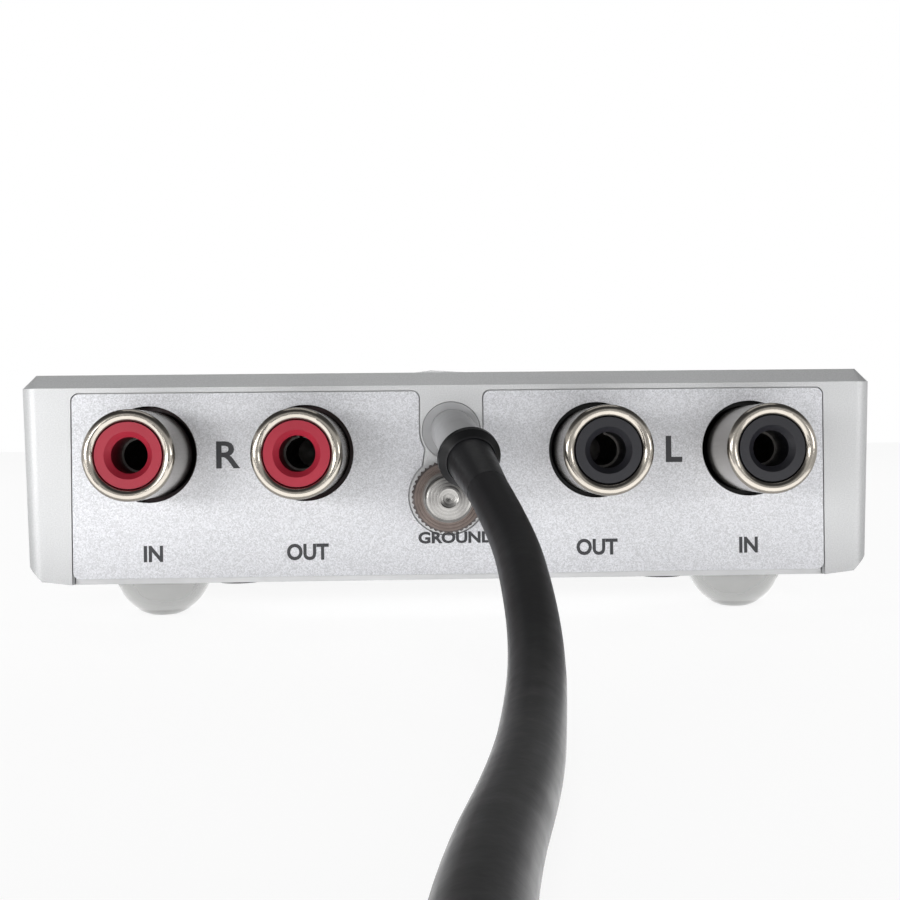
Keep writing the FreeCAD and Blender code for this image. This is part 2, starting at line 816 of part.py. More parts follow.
def voltage_regulator():
    """Small three-leg regulator with its flat face to the front."""
    x = f"{BOARD_WIDTH} * 0.2"
    y = f"{REAR} + case_depth * 0.62"
    lift = "3 * leg_dia"
    barrel = rod("regulator_barrel", "regulator_dia", "regulator_height", x, y, f"{BOARD_TOP} + {lift}", "Z")
    flat = slab(
        "regulator_flat",
        x,
        f"{y} + regulator_dia / 4",
        f"{BOARD_TOP} + {lift} - leg_dia",
        "2 * regulator_dia",
        "regulator_dia",
        "regulator_height + 2 * leg_dia",
    )
    legs = [
        rod(f"regulator_leg_{i}", "leg_dia", f"{lift} + leg_dia", f"{x} + {i} * 2 * leg_dia", y, BOARD_TOP, "Z")
        for i in (-1, 0, 1)
    ]
    keep(fuse("regulator_whole", cut("regulator_case", barrel, flat), *legs), "voltage_regulator")


def board_parts():
    """Everything that stands on the circuit board; shares place the parts along the board."""
    for i, (across, along) in enumerate(((-0.3, 0.34), (0.3, 0.34), (-0.12, 0.6), (0.05, 0.72)), start=1):
        can_capacitor(f"electrolytic_{i}", f"{BOARD_WIDTH} * {across}", f"{REAR} + case_depth * {along}")
    for i, (across, along) in enumerate(((-0.33, 0.24), (-0.17, 0.24), (0.17, 0.24), (0.33, 0.24)), start=1):
        film_capacitor(f"film_capacitor_{i}", f"{BOARD_WIDTH} * {across}", f"{REAR} + case_depth * {along}")
    for i, across in enumerate((-0.3, -0.15, 0.15, 0.3), start=1):
        resistor(f"resistor_{i}", f"{BOARD_WIDTH} * {across}", f"{REAR} + case_depth * 0.48")
    amplifier_chip()
    voltage_regulator()


def ground_terminal():
    """Knurled thumbscrew with its captive washer, in a bush through the rear wall."""
    x = "-ground_side"
    head_back = f"({REAR} - washer_thick)"
    teeth = []
    for i in range(int(size.knurl_count)):
        for step, radius in ((0.0, size.knurl_dia / 2), (0.5, size.knurl_dia / 2 - size.knurl_depth)):
            angle = math.tau * (i + step) / size.knurl_count
            teeth.append(V(radius * math.cos(angle), 0, radius * math.sin(angle)))
    ring = Part.Face(Part.makePolygon(teeth + [teeth[0]])).extrude(V(0, -size.knurl_thick, 0))
    knurl = feature("thumb_knurl", ring)
    knurl_edge = cone(
        "thumb_edge",
        "knurl_dia - 3 * knurl_depth",
        "knurl_dia + 3 * knurl_depth",
        "2 * 3 * knurl_depth",
        x,
        f"{head_back} - knurl_thick",
        GROUND_Z,
    )
    place(knurl, x, head_back, GROUND_Z)
    grip = slab(
        "thumb_grip",
        x,
        f"{head_back} - knurl_thick + 6 * knurl_depth",
        f"{GROUND_Z} - knurl_dia",
        "2 * knurl_dia",
        "knurl_thick - 6 * knurl_depth",
        "2 * knurl_dia",
    )
    trim = doc.addObject("Part::MultiCommon", "thumb_trimmed")
    trim.Shapes = [knurl, fuse("thumb_limits", knurl_edge, grip)]
    terminal = body("thumb_terminal")
    place(terminal, x, head_back, GROUND_Z)
    tip = "terminal_dia / 2"
    length = "(knurl_thick + terminal_length)"
    blank = turn(
        terminal,
        "thumb_turned",
        [
            ("0", f"-{length} + knurl_depth"),
            ("terminal_dia / 8", f"-{length} + knurl_depth / 2"),
            ("terminal_dia / 5", f"-{length}"),
            (tip, f"-{length} + knurl_depth"),
            (tip, "0"),
            ("shank_dia / 2", "0"),
            ("shank_dia / 2", "washer_thick + shank_length"),
            ("0", "washer_thick + shank_length"),
        ],
    )

    def rim(edge):
        at = edge.Vertexes[0].Point
        outer = near(math.hypot(at.x, at.z), size.terminal_dia / 2)
        return outer and edge.Curve.TypeId == "Part::GeomCircle" and at.y < -size.knurl_thick

    dress(terminal, "Fillet", "thumb_rim", blank, rim, "knurl_depth * 2")
    keep(fuse("thumb_whole", trim, terminal), "ground_thumbscrew")
    disc = rod("washer_disc", "washer_dia", "washer_thick", x, head_back, GROUND_Z)
    eye = rod("washer_eye", "shank_dia + 4 * fit_gap", "washer_thick", x, head_back, GROUND_Z)
    keep(cut("washer_ring", disc, eye), "ground_washer")

    wall_depth = "(plate_thick + wall)"
    barrel = rod("bush_barrel", "bush_dia - fit_gap", wall_depth, x, REAR, GROUND_Z)
    tail = rod("bush_tail_rod", "bush_tail_dia", f"{wall_depth} + bush_tail", x, REAR, GROUND_Z)
    hole = rod("bush_hole", "shank_dia + 2 * fit_gap", "2 * case_height", x, f"{REAR} - wall", GROUND_Z)
    keep(cut("bush_whole", fuse("bush_blank", barrel, tail), hole), "ground_bush")

    tag_eye = rod("tag_eye", "bush_tail_dia + fit_gap", "2 * wall", x, f"{INSIDE} - wall", GROUND_Z)
    tag_disc = rod("tag_disc", "tag_dia", "tag_thick", x, INSIDE, GROUND_Z)
    lug = box(
        "tag_lug",
        (f"{x} - tag_dia", INSIDE, f"{GROUND_Z} - wire_dia"),
        ("tag_dia", "tag_thick", "2 * wire_dia"),
    )
    keep(cut("tag_whole", fuse("tag_blank", tag_disc, lug), tag_eye), "ground_tag")

    nut = doc.addObject("Part::Prism", "nut_blank")
    nut.Polygon = 6
    bind(nut, "Circumradius", "nut_flats / 2 / cos(30)")
    bind(nut, "Height", "nut_thick")
    nut.Placement.Rotation = FreeCAD.Rotation(V(1, 0, 0), -90)
    nut_at = f"{INSIDE} + tag_thick"
    place(nut, x, nut_at, GROUND_Z)
    nut_eye = rod("nut_eye", "bush_tail_dia + fit_gap", "nut_thick", x, nut_at, GROUND_Z)
    keep(cut("nut_whole", nut, nut_eye), "ground_nut")


def rounded(points, tightest=None):
    """Straight runs joined by tangent arcs through a route's points, as one wire."""
    edges = []
    start = points[0]
    for before, at, after in zip(points, points[1:], points[2:]):
        way_in = (at - before).normalize()
        way_out = (after - at).normalize()
        half_turn = way_in.getAngle(way_out) / 2
        setback = 0.45 * min((at - before).Length, (after - at).Length)
        radius = setback / math.tan(half_turn)
        if tightest is not None:
            tightest.append(radius)
        arc_start = at - way_in * setback
        arc_end = at + way_out * setback
        inward = (way_out - way_in).normalize()
        middle = at + inward * (radius / math.cos(half_turn) - radius)
        edges.append(Part.LineSegment(start, arc_start).toShape())
        edges.append(Part.Arc(arc_start, middle, arc_end).toShape())
        start = arc_end
    edges.append(Part.LineSegment(start, points[-1]).toShape())
    return Part.Wire(edges)


def tube(name, path, radius):
    """A round solid along a wire, checked against its section times its length."""
    first = path.Edges[0]
    ring = Part.Circle(first.valueAt(first.FirstParameter), first.tangentAt(first.FirstParameter), radius)
    shape = path.makePipeShell([Part.Wire(ring.toShape())], True, False)
    shape = Part.Solid(shape) if shape.ShapeType == "Shell" else shape
    ratio = shape.Volume / (math.pi * radius**2 * path.Length)
    print(f"{name}: {path.Length:.1f} mm long, volume over section times length {ratio:.4f}")
    return feature(name, shape)


def inner_wiring():
    """The lead's end inside the case, its grip, and the wires to the board."""
    x = "lead_side"
    start = f"({INSIDE} + slip_gap + flange_thick)"
    keep(rod("lead_stub", "lead_dia", "inner_run", x, start, LEAD_Z), "lead_inner")
    band = rod("grip_band", "grip_dia", "grip_width", x, start, LEAD_Z)
    head = box("grip_head", (x, start, f"{LEAD_Z} - lead_dia / 2"), ("grip_dia", "grip_width", "lead_dia"))
    eye = rod("grip_eye", "lead_dia + fit_gap", "grip_width", x, start, LEAD_Z)
    keep(cut("grip_whole", fuse("grip_blank", band, head), eye), "lead_grip")

    inside = rear + size.plate_thick + size.wall
    wire_start = inside + size.slip_gap + size.flange_thick + size.inner_run
    spread = lead_radius / 2
    drop = 4 * size.wire_dia
    for label, side in (("supply_wire_plus", -1), ("supply_wire_minus", 1)):
        at_x = size.lead_side + side * spread
        route = [
            V(at_x, wire_start, lead_z),
            V(at_x, wire_start + drop, lead_z),
            V(at_x, wire_start + drop, board_top),
        ]
        keep(tube(f"{label}_tube", rounded(route), size.wire_dia / 2), label)
    lug_x = -size.ground_side - 0.8 * size.tag_dia
    lug_y = inside + size.tag_thick
    route = [V(lug_x, lug_y, ground_z), V(lug_x, lug_y + drop, ground_z), V(lug_x, lug_y + drop, board_top)]
    keep(tube("ground_wire_tube", rounded(route), size.wire_dia / 2), "ground_wire")


def power_led():
    """Indicator in the front wall, its legs bent down to the board."""
    tip = f"({FRONT} - led_dia / 2)"
    barrel_start = f"({tip} - led_length + led_dia / 2)"
    barrel = rod("led_barrel", "led_dia", "led_length - led_dia / 2", "0", barrel_start, "led_height")
    dome = doc.addObject("Part::Sphere", "led_dome")
    bind(dome, "Radius", "led_dia / 2")
    place(dome, "0", tip, "led_height")
    skirt = rod("led_skirt", "led_dia * 1.25", "leg_dia", "0", barrel_start, "led_height")
    keep(fuse("led_whole", barrel, dome, skirt), "power_led")
    front = rear + size.case_depth
    leg_start = front - size.led_length
    board_front = front - size.board_front_gap
    for label, side in (("led_leg_plus", -1), ("led_leg_minus", 1)):
        x = side * size.led_dia / 4
        route = [
            V(x, leg_start, size.led_height),
            V(x, board_front - size.led_dia, size.led_height),
            V(x, board_front - size.led_dia, board_top),
        ]
        keep(tube(f"{label}_tube", rounded(route), size.leg_dia / 2), label)


def sleeve_way():
    """Where the sleeve ends and which way it points there, from its sag and sway over its reach."""
    drift = math.hypot(size.sleeve_sway, size.sleeve_sag)
    angle = 2 * math.atan(drift / size.sleeve_reach)
    radius = size.sleeve_reach / math.sin(angle)
    aside = V(size.sleeve_sway / drift, 0, -size.sleeve_sag / drift)
    root = V(size.lead_side, rear, lead_z)

    def at(turned):
        return root + V(0, -radius * math.sin(turned), 0) + aside * (radius * (1 - math.cos(turned)))

    way = V(0, -math.cos(angle), 0) + aside * math.sin(angle)
    return root, at(angle / 2), at(angle), way


def lead_exit():
    """Grey sleeve out of the rear wall, and the black collar whose boot holds the lead."""
    root, middle, end, way = sleeve_way()
    bend = tube("sleeve_bend", Part.Wire(Part.Arc(root, middle, end).toShape()), size.sleeve_dia / 2)
    plug = rod(
        "sleeve_plug",
        "lead_hole_dia - 2 * fit_gap",
        "plate_thick + wall - fit_gap + slip_gap",
        "0",
        f"{REAR} + fit_gap",
        LEAD_Z,
    )
    root_rod = rod("sleeve_root", "sleeve_dia", "wall", "lead_side", REAR, LEAD_Z)
    flange = rod("sleeve_flange", "flange_dia", "flange_thick", "0", f"{INSIDE} + slip_gap", LEAD_Z)
    keep(fuse("sleeve_whole", bend, plug, root_rod, flange), "lead_sleeve")

    bevel = size.ring_thick / 4
    steps = (
        (0, size.ring_dia / 2 - bevel),
        (bevel, size.ring_dia / 2),
        (size.ring_thick - 1.6 * bevel, size.ring_dia / 2),
        (size.ring_thick, size.ring_dia / 2 - 1.6 * bevel),
        (size.ring_thick - bevel / 2, size.boot_dia / 2),
        (size.ring_thick + size.boot_length, lead_radius),
    )
    profile = [V(0, 0, 0)] + [V(r, 0, along) for along, r in steps]
    profile.append(V(0, 0, size.ring_thick + size.boot_length))
    face = Part.Face(Part.makePolygon(profile + [profile[0]]))
    collar = feature("collar_turned", face.revolve(V(0, 0, 0), V(0, 0, 1), 360))
    collar.Placement = FreeCAD.Placement(end, FreeCAD.Rotation(V(0, 0, 1), way))
    keep(collar, "lead_collar")


def coil_frame():
    """Centre, outer radius and layer heights of the put-away coil."""
    outer = size.coil_inner + size.coil_turns * size.coil_pitch
    start_x = -size.coil_entry
    centre_y = rear - size.coil_back - size.lead_dia
    low = size.coil_lift + lead_radius
    return V(start_x - outer, centre_y, 0), outer, low, low + size.layer_pitch


def power_lead():
    """The free lead: out of its boot, down to the floor and along it to the coil."""
    root, middle, end, way = sleeve_way()
    exit_at = end + way * (size.ring_thick + size.boot_length)
    centre, outer, low, high = coil_frame()
    entry_x = centre.x + outer
    entry_y = centre.y + size.lead_dia
    route = [
        exit_at,
        exit_at + way * 8.0,
        V(4.6, -84.0, 6.4),
        V(4.4, -93.5, 3.4),
        V(3.3, -104.0, lead_radius),
        V(1.8, -117.0, lead_radius),
        V(-0.7, -131.0, lead_radius),
        V(-1.9, -146.0, lead_radius),
        V(entry_x, entry_y + 14.0, low),
        V(entry_x, entry_y, low),
    ]
    radii = []
    path = rounded(route, radii)
    print("power_lead arc radii:", ", ".join(f"{radius:.1f}" for radius in radii))
    keep(tube("power_lead_tube", path, lead_radius), "power_lead")


def biarc(start, start_way, end, end_way):
    """Two arcs that leave one point and reach another along given directions."""
    chord = end - start
    both = start_way + end_way
    spare = 2 * (1 - start_way.dot(end_way))
    along = chord.dot(both)
    reach = (math.sqrt(along**2 + spare * chord.dot(chord)) - along) / spare
    knee_in = start + start_way * reach
    knee_out = end - end_way * reach
    middle = (knee_in + knee_out) / 2
    edges = []
    for first, knee, last in ((start, knee_in, middle), (middle, knee_out, end)):
        half = (last - first) / 2
        toward = knee - (first + half)
        rise = half.Length * math.tan(math.atan2(toward.Length, half.Length) / 2)
        edges.append(Part.Arc(first, first + half + toward.normalize() * rise, last).toShape())
    return edges


def coil_nodes():
    """Points and directions each quarter turn: in on the lower layer, up, and out on the upper one."""
    centre, outer, low, high = coil_frame()
    quarters = 4 * int(size.coil_turns)
    shrink = size.coil_pitch / math.tau
    climb = size.layer_pitch
    nodes = []
    for step in range(2 * quarters + 3):
        angle = step * math.pi / 2
        up = step - quarters
        if up <= 0:
            radius = outer - shrink * angle
            radial, z, rising = -shrink, low, 0.0
        elif up >= 2:
            radius = size.coil_inner + shrink * (up - 2) * math.pi / 2
            radial, z, rising = shrink, high, 0.0
        else:
            radius = size.coil_inner - shrink * math.pi / 2
            radial, z, rising = 0.0, low + climb / 2, climb / 2
        if step in (0, 2 * quarters + 2):
            radial = 0.0
        out = V(math.cos(angle), -math.sin(angle), 0)
        on = V(-math.sin(angle), -math.cos(angle), 0)
        way = (out * radial + on * radius + V(0, 0, rising)).normalize()
        nodes.append((centre + out * radius + V(0, 0, z), way))
    return nodes


def least_gap(path):
    """Smallest clear distance between stretches of a wound tube, on points two millimetres apart."""
    points = path.discretize(Distance=2.0)
    skip = int(4 * size.lead_dia)
    cells = {}
    best = math.inf
    for i, p in enumerate(points):
        cells.setdefault((int(p.x // 5), int(p.y // 5), int(p.z // 5)), []).append((i, p))
    for (cx, cy, cz), members in cells.items():
        around = [
            item
            for dx in (-1, 0, 1)
            for dy in (-1, 0, 1)
            for dz in (-1, 0, 1)
            for item in cells.get((cx + dx, cy + dy, cz + dz), [])
        ]
        for i, p in members:
            for j, q in around:
                if j - i > skip:
                    best = min(best, (p - q).Length)
    return best - size.lead_dia


def lead_coil():
    """The length that is put away: one tube wound in two layers, with straight ends."""
    nodes = coil_nodes()
    (first, first_way), (last, last_way) = nodes[0], nodes[-1]
    edges = [Part.LineSegment(first - first_way * size.lead_dia, first).toShape()]
    for (start, start_way), (end, end_way) in zip(nodes, nodes[1:]):
        edges += biarc(start, start_way, end, end_way)
    edges.append(Part.LineSegment(last, last + last_way * size.lead_dia).toShape())
    path = Part.Wire(edges)
    print(f"lead_coil least gap to itself: {least_gap(path):.2f} mm")
    keep(tube("lead_coil_tube", path, lead_radius), "lead_coil")


def coil_tie():
    """Flat band round the bundle of turns, on the coil's side towards the case."""
    centre, outer, low, high = coil_frame()
    least = size.coil_inner + size.coil_pitch / 4 - lead_radius
    most = outer - 0.75 * size.coil_pitch + lead_radius
    slack = size.tie_width**2 / (8 * least)
    near_y = centre.y + least - size.tie_gap - slack
    far_y = centre.y + most + size.tie_gap
    under = low - lead_radius - size.tie_gap
    over = high + lead_radius + size.tie_gap
    bounds = Part.makeBox(size.tie_width, far_y - near_y, over - under, V(0, near_y, under))
    band = size.tie_thick
    outside = Part.makeBox(
        size.tie_width, far_y - near_y + 2 * band, over - under + 2 * band, V(0, near_y - band, under - band)
    )
    lengthwise = [edge for edge in outside.Edges if near(edge.Length, size.tie_width)]
    loop = outside.makeFillet(3 * band, lengthwise).cut(
        bounds.makeFillet(2 * band, [edge for edge in bounds.Edges if near(edge.Length, size.tie_width)])
    )
    tie = feature("tie_loop", loop)
    tie.Placement = FreeCAD.Placement(V(centre.x - size.tie_width / 2, 0, 0), FreeCAD.Rotation())
    keep(tie, "lead_tie")


def lead_end():
    """The lead's tail off the coil, and the in-line socket that it ends in."""
    last, way = coil_nodes()[-1]
    start = last + way * size.lead_dia
    axis_z = size.socket_dia / 2
    run = size.tail_run / 3
    route = [
        start,
        V(start.x, start.y + run, start.z),
        V(start.x, start.y + 2 * run, axis_z),
        V(start.x, start.y + 3 * run, axis_z),
    ]
    radii = []
    path = rounded(route, radii)
    print("lead_tail arc radii:", ", ".join(f"{radius:.1f}" for radius in radii))
    keep(tube("lead_tail_tube", path, lead_radius), "lead_tail")
    at = route[-1]
    outer = size.socket_dia / 2
    room = size.socket_bore / 2 + size.socket_wall
    mouth = size.socket_boot + size.socket_length
    round_off = size.socket_wall
    profile = [
        V(0, 0, 0),
        V(size.boot_dia / 2, 0, 0),
        V(outer * 0.75, 0, size.socket_boot),
        V(outer, 0, size.socket_boot + round_off),
        V(outer, 0, mouth - round_off),
        V(outer - round_off, 0, mouth),
        V(room, 0, mouth),
        V(room, 0, mouth - size.socket_depth),
        V(0, 0, mouth - size.socket_depth),
    ]
    housing = feature(
        "socket_turned", Part.Face(Part.makePolygon(profile + [profile[0]])).revolve(V(0, 0, 0), V(0, 0, 1), 360)
    )
    facing = FreeCAD.Placement(at, FreeCAD.Rotation(V(0, 0, 1), V(0, 1, 0)))
    housing.Placement = facing
    keep(housing, "socket_housing")
    floor = mouth - size.socket_depth
    reach = size.socket_depth - size.socket_wall
    outside = Part.makeCylinder(room - size.fit_gap / 2, reach, V(0, 0, floor))
    inside = Part.makeCylinder(size.socket_bore / 2, reach, V(0, 0, floor))
    sleeve = feature("socket_sleeve", outside.cut(inside))
    sleeve.Placement = facing
    keep(sleeve, "socket_ring")
    pin = feature("socket_post", Part.makeCylinder(size.socket_pin_dia / 2, reach, V(0, 0, floor)))
    pin.Placement = facing
    keep(pin, "socket_pin")


def report_state():
    """Stops before anything is written if a feature or a sub-part is broken."""
    doc.recompute()
    for obj in doc.Objects:
        if {"Invalid", "Error"} & set(obj.State):
            raise RuntimeError(f"{obj.Name} ({obj.Label}) failed: {obj.State}")
    for obj in PARTS:
        if obj.Shape.isNull() or not obj.Shape.isValid() or not obj.Shape.Solids:
            raise RuntimeError(f"{obj.Label} has no valid solid")


case_shell()
bottom_plate()
rear_plate()
for depth, y in (("rear", f"{REAR} + foot_inset"), ("front", f"{FRONT} - foot_inset")):
    foot(f"foot_{depth}_left", "foot_spread / 2", y)
    foot(f"foot_{depth}_right", "-foot_spread / 2", y)
fasteners()
for label, x in JACKS.items():
    jack_shell(label, x)
    jack_body(label, x)
    jack_contact(label, x)
circuit_board()
board_parts()
ground_terminal()
inner_wiring()
power_led()
lead_exit()
power_lead()
lead_coil()
coil_tie()
lead_end()
report_state()

os.makedirs("parts", exist_ok=True)
for obj in PARTS:
    obj.Shape.exportStep(f"parts/{obj.Label}.step")
print(f"{len(PARTS)} sub-parts, {sum(len(obj.Shape.Solids) for obj in PARTS)} solids")
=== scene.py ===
import math

import bmesh
import bpy
from mathutils import Matrix, Vector


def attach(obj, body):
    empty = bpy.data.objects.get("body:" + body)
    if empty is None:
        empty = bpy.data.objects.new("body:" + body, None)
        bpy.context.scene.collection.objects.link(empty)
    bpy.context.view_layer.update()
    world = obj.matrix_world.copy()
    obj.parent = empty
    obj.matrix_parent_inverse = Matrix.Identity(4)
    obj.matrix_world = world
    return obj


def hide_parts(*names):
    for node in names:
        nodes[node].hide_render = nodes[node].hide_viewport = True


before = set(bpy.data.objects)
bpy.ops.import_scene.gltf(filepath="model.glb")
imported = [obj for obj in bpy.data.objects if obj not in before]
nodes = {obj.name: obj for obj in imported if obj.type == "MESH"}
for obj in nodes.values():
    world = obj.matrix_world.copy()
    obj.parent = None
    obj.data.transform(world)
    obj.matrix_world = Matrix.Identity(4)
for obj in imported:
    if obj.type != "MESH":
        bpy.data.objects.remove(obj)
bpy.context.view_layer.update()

# Sizes in millimetres: the rear plate's face, the jacks' height, the ground terminal's axis,
# and the lead with its sleeve, coil and in-line socket
MM = 0.001
BODY = "preamp"
REAR_Y = -48.0
JACK_Z = 16.2
GROUND_X = -0.4
GROUND_Z = JACK_Z - 4.3
SLEEVE_X = 0.1
SLEEVE_Z = JACK_Z + 1.97
SLEEVE_REACH = 10.5
SLEEVE_SAG = 2.2
SLEEVE_SWAY = 1.1
RING_THICK = 1.5
BOOT_LENGTH = 6.0
LEAD_DIA = 3.6
LEAD_ON_FLOOR = LEAD_DIA / 2
COIL_OUTER = 28.4
COIL_INNER = 11.8
COIL_PITCH = 4.15
COIL_TURNS = 4
COIL_LOW = 2.6
COIL_HIGH = 6.7
COIL_ENTRY = Vector((-2.2, REAR_Y - 124.4 - LEAD_DIA, COIL_LOW))
SOCKET_Z = 4.75


def metres(x, y, z):
    return Vector((x, y, z)) * MM


def link(name, data):
    obj = bpy.data.objects.new(name, data)
    bpy.context.collection.objects.link(obj)
    return obj


# Camera, at the photograph's place: behind the case, level with the jacks


def photo_camera():
    data = bpy.data.cameras.new("camera")
    data.sensor_width = 36.0
    data.lens = 53.21
    data.shift_x = -0.0334
    data.shift_y = -0.0075
    data.clip_start = 0.004
    data.clip_end = 50.0
    yaw, roll = 0.0405, -0.0108
    level = Vector((math.cos(yaw), -math.sin(yaw), 0))
    right = level * math.cos(roll) + Vector((0, 0, 1)) * math.sin(roll)
    up = Vector((0, 0, 1)) * math.cos(roll) - level * math.sin(roll)
    back = right.cross(up)
    place = metres(-2.44, -176.33, 16.95)
    turned = Matrix((right, up, back)).transposed().to_4x4()
    camera = link("camera", data)
    camera.matrix_world = Matrix.Translation(place) @ turned
    bpy.context.scene.camera = camera


# The lead's first bend


def sleeve_end():
    """Where the grey sleeve ends, and the way that the lead goes on from there."""
    drift = math.hypot(SLEEVE_SWAY, SLEEVE_SAG)
    turned = 2 * math.atan(drift / SLEEVE_REACH)
    radius = SLEEVE_REACH / math.sin(turned)
    aside = Vector((SLEEVE_SWAY / drift, 0, -SLEEVE_SAG / drift))
    way = Vector((0, -math.cos(turned), 0)) + aside * math.sin(turned)
    straight_out = Vector((SLEEVE_X, REAR_Y - SLEEVE_REACH, SLEEVE_Z))
    return straight_out + aside * radius * (1 - math.cos(turned)), way


# Materials


class Recipe:
    """A Principled material with the small set of textures these finishes share."""

    def __init__(self, name, colour, roughness, metallic=0.0, specular=0.5):
        self.material = bpy.data.materials.new(name)
        self.material.use_nodes = True
        self.tree = self.material.node_tree
        self.shader = self.tree.nodes["Principled BSDF"]
        self.colour = colour
        self.set("Base Color", (*colour, 1.0))
        self.set("Roughness", roughness)
        self.set("Metallic", metallic)
        self.set("Specular IOR Level", specular)
        self.places = self.add("ShaderNodeTexCoord")
        self.normal = None

    def set(self, socket, value):
        self.shader.inputs[socket].default_value = value

    def add(self, kind, **settings):
        node = self.tree.nodes.new(kind)
        for key, value in settings.items():
            setattr(node, key, value)
        return node

    def join(self, start, end):
        self.tree.links.new(start, end)

    def noise(self, scale, detail=2.0, stretch=None):
        """Noise on the piece's own Object coordinates; scale counts per metre."""
        node = self.add("ShaderNodeTexNoise")
        node.inputs["Scale"].default_value = scale
        node.inputs["Detail"].default_value = detail
        spot = self.places.outputs["Object"]
        if stretch:
            mapping = self.add("ShaderNodeMapping")
            mapping.inputs["Scale"].default_value = stretch
            self.join(spot, mapping.inputs["Vector"])
            spot = mapping.outputs["Vector"]
        self.join(spot, node.inputs["Vector"])
        return node.outputs["Fac"]

    def cells(self, scale):
        """Random grey for each cell of flake, on Object coordinates."""
        node = self.add("ShaderNodeTexVoronoi")
        node.inputs["Scale"].default_value = scale
        self.join(self.places.outputs["Object"], node.inputs["Vector"])
        split = self.add("ShaderNodeSeparateColor")
        self.join(node.outputs["Color"], split.inputs["Color"])
        return split.outputs["Red"]

    def from_axis(self, x, z):
        """Distance from an axis along Y through x and z, in millimetres."""
        centred = self.add("ShaderNodeMapping")
        centred.inputs["Location"].default_value = (-x * MM, 0, -z * MM)
        self.join(self.places.outputs["Object"], centred.inputs["Vector"])
        flat = self.add("ShaderNodeVectorMath", operation="MULTIPLY")
        flat.inputs[1].default_value = (1, 0, 1)
        self.join(centred.outputs["Vector"], flat.inputs[0])
        reach = self.add("ShaderNodeVectorMath", operation="LENGTH")
        self.join(flat.outputs["Vector"], reach.inputs[0])
        return self.times(reach.outputs["Value"], 1 / MM)

    def along(self, direction):
        """Place along a unit direction, in millimetres."""
        node = self.add("ShaderNodeVectorMath", operation="DOT_PRODUCT")
        node.inputs[1].default_value = direction
        self.join(self.places.outputs["Object"], node.inputs[0])
        return self.times(node.outputs["Value"], 1 / MM)

    def times(self, value, factor):
        node = self.add("ShaderNodeMath", operation="MULTIPLY")
        node.inputs[1].default_value = factor
        self.join(value, node.inputs[0])
        return node.outputs["Value"]

    def waves(self, value, pitch):
        """A value turned into ripples from 0 to 1, one for each pitch."""
        node = self.add("ShaderNodeMath", operation="SINE")
        self.join(self.times(value, math.tau / pitch), node.inputs[0])
        return self.spread(node.outputs["Value"], -1, 1, 0, 1)

    def darken(self, value, at, over, factor):
        """Base colour darkened to a factor where a value passes from at to at + over."""
        base = self.shader.inputs["Base Color"]
        mix = self.add("ShaderNodeMix", data_type="RGBA", blend_type="MULTIPLY")
        # Inputs 6 and 7 and output 2 are this node's sockets for colours
        first, second = mix.inputs[6], mix.inputs[7]
        self.join(self.spread(value, at, at + over, 0, 1), mix.inputs["Factor"])
        self.join(base.links[0].from_socket, first)
        second.default_value = (*factor, 1.0)
        self.join(mix.outputs[2], base)

    def spread(self, value, low, high, at_low, at_high):
        """Maps a texture's range to another one."""
        node = self.add("ShaderNodeMapRange")
        node.inputs["From Min"].default_value = low
        node.inputs["From Max"].default_value = high
        node.inputs["To Min"].default_value = at_low
        node.inputs["To Max"].default_value = at_high
        self.join(value, node.inputs["Value"])
        return node.outputs["Result"]

    def blend(self, value, low, high, dark, light):
        """Base colour between two tones along a texture."""
        node = self.add("ShaderNodeValToRGB")
        node.color_ramp.elements[0].position = low
        node.color_ramp.elements[1].position = high
        node.color_ramp.elements[0].color = (*dark, 1.0)
        node.color_ramp.elements[1].color = (*light, 1.0)
        self.join(value, node.inputs["Fac"])
        self.join(node.outputs["Color"], self.shader.inputs["Base Color"])

    def shades(self, value, low, high, darker, lighter):
        """Base colour varied round the recipe's own colour."""
        dark = tuple(c * darker for c in self.colour)
        light = tuple(min(1.0, c * lighter) for c in self.colour)
        self.blend(value, low, high, dark, light)

    def gloss(self, value, low, high, smooth, rough):
        """Roughness varied along a texture."""
        self.join(self.spread(value, low, high, smooth, rough), self.shader.inputs["Roughness"])

    def bump(self, value, depth_mm):
        """Relief of a texture, over any bump that the recipe has already."""
        node = self.add("ShaderNodeBump")
        node.inputs["Strength"].default_value = 1.0
        node.inputs["Distance"].default_value = depth_mm * MM
        self.join(value, node.inputs["Height"])
        if self.normal:
            self.join(self.normal, node.inputs["Normal"])
        self.normal = node.outputs["Normal"]
        self.join(self.normal, self.shader.inputs["Normal"])


def silver_case():
    """Moulded plastic with metallic pigment."""
    r = Recipe("case_silver", (0.54, 0.545, 0.55), 0.42, metallic=0.25)
    grain = r.noise(8000, 2.0)
    r.shades(grain, 0.35, 0.65, 0.94, 1.06)
    r.gloss(r.noise(60, 2.0), 0.3, 0.7, 0.38, 0.48)
    r.bump(grain, 0.006)
    return r.material


def silver_plate():
    """Painted metal with coarse, bright flake."""
    r = Recipe("plate_silver", (0.58, 0.585, 0.61), 0.36, metallic=0.22)
    flake = r.cells(9500)
    r.shades(flake, 0.0, 1.0, 0.80, 1.2)
    r.gloss(r.noise(90, 2.0), 0.3, 0.7, 0.34, 0.42)
    r.bump(r.noise(9000, 1.0), 0.005)
    return r.material


def plain_plastic(name, colour, roughness, grain_scale=3000, depth_mm=0.01):
    """Moulded plastic with a fine grain and slightly uneven gloss."""
    r = Recipe(name, colour, roughness)
    grain = r.noise(grain_scale, 3.0)
    r.shades(r.noise(180, 2.0), 0.3, 0.7, 0.92, 1.08)
    r.gloss(grain, 0.3, 0.7, roughness - 0.05, roughness + 0.06)
    r.bump(grain, depth_mm)
    return r.material


